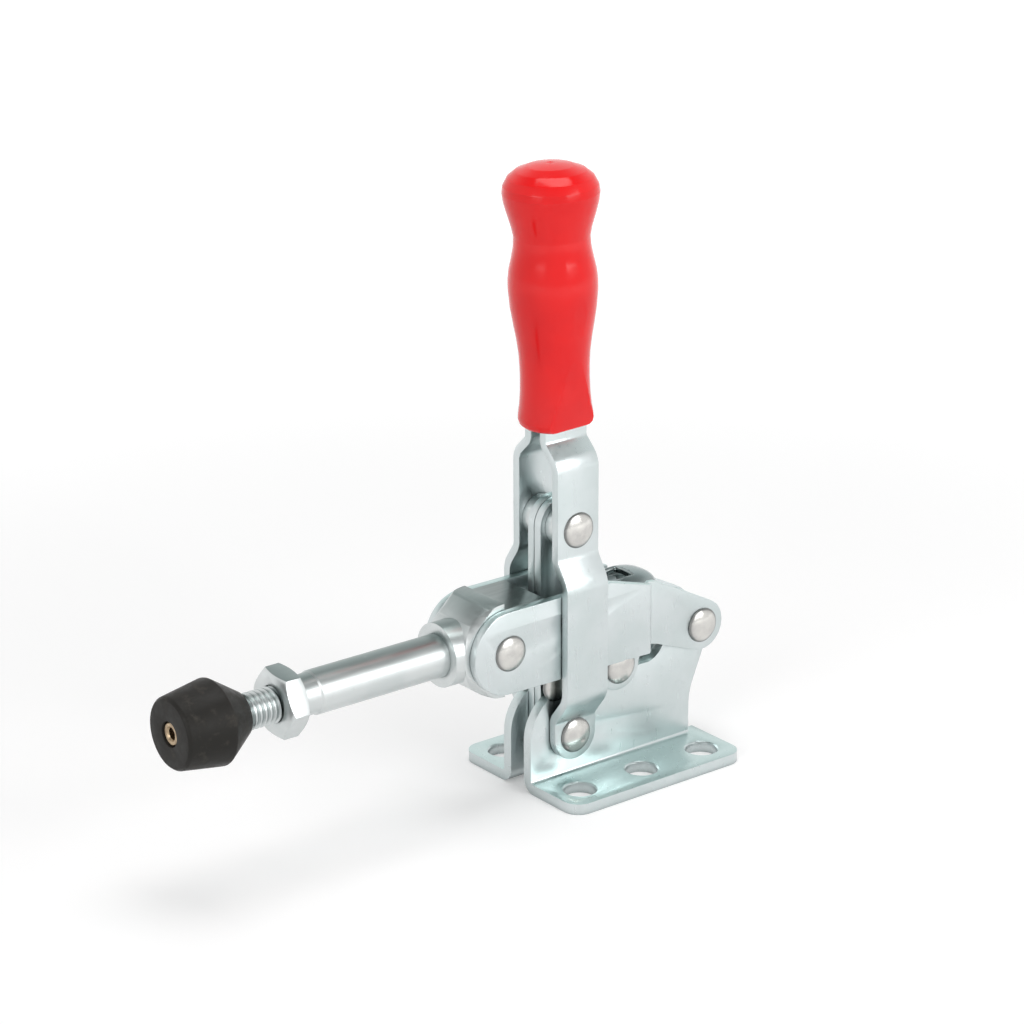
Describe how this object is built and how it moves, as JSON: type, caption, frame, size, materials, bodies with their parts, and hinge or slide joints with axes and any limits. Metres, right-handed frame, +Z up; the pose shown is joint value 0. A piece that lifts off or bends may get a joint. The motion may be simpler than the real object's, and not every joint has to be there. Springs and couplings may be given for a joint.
{
  "type": "vertical toggle clamp",
  "caption": "Flanged-base toggle clamp with an upright plastic grip, a solid round arm and a threaded rubber-tipped end.",
  "frame": {"origin": "middle of the six foot holes, on the bottom plane of the feet", "axes": "+X forward along the arm to the rubber tip, +Y to the side that the picture shows, +Z up"},
  "size_m": [0.1783, 0.051, 0.1747],
  "materials": {
    "zinc_sheet": "bright zinc plate, pale blue green",
    "zinc_steel": "bright zinc plate on turned steel",
    "rivet_steel": "polished rivet heads",
    "red_plastic": "glossy moulded plastic",
    "black_rubber": "matt black rubber",
    "brass": "turned brass"
  },
  "bodies": {
    "base": {"base_plate_near": "zinc_sheet", "base_plate_far": "zinc_sheet", "rear_spacer": "zinc_steel", "front_pivot_rivet": "rivet_steel", "rear_pivot_rivet": "rivet_steel"},
    "handle": {"handle_strap_near": "zinc_sheet", "handle_strap_far": "zinc_sheet", "inner_plate_near": "zinc_sheet", "inner_plate_far": "zinc_sheet", "upper_bush_near": "zinc_steel", "upper_bush_far": "zinc_steel", "upper_rivet": "rivet_steel", "stop_pin": "rivet_steel", "arm_pivot_pin": "zinc_steel", "handle_grip": "red_plastic"},
    "arm": {"arm_plate_near": "zinc_sheet", "arm_plate_far": "zinc_sheet", "link_stud_near": "zinc_steel", "link_stud_far": "zinc_steel", "fork_block": "zinc_steel", "block_rivet": "rivet_steel", "threaded_rod": "zinc_steel", "jam_nut": "zinc_steel", "rubber_cap": "black_rubber", "cap_insert": "brass"},
    "rear_links": {"rear_link_near": "zinc_sheet", "rear_link_far": "zinc_sheet"}
  },
  "joints": [
    {"name": "handle_swing", "type": "hinge", "parent": "base", "child": "handle", "pos_m": [0.017, 0, 0.0151], "axis": [0, -1, 0], "range_deg": [0, 16]},
    {"name": "arm_tilt", "type": "hinge", "parent": "handle", "child": "arm", "pos_m": [0.017, 0, 0.05], "axis": [0, -1, 0], "range_deg": [0, 6.16]},
    {"name": "link_swing", "type": "hinge", "parent": "base", "child": "rear_links", "pos_m": [-0.0294, 0, 0.0358], "axis": [0, 1, 0], "range_deg": [0, 11.71]}
  ],
  "couplings": [
    {"joint": "arm_tilt", "follows": "handle_swing", "ratio": 0.385},
    {"joint": "link_swing", "follows": "handle_swing", "ratio": 0.732}
  ]
}
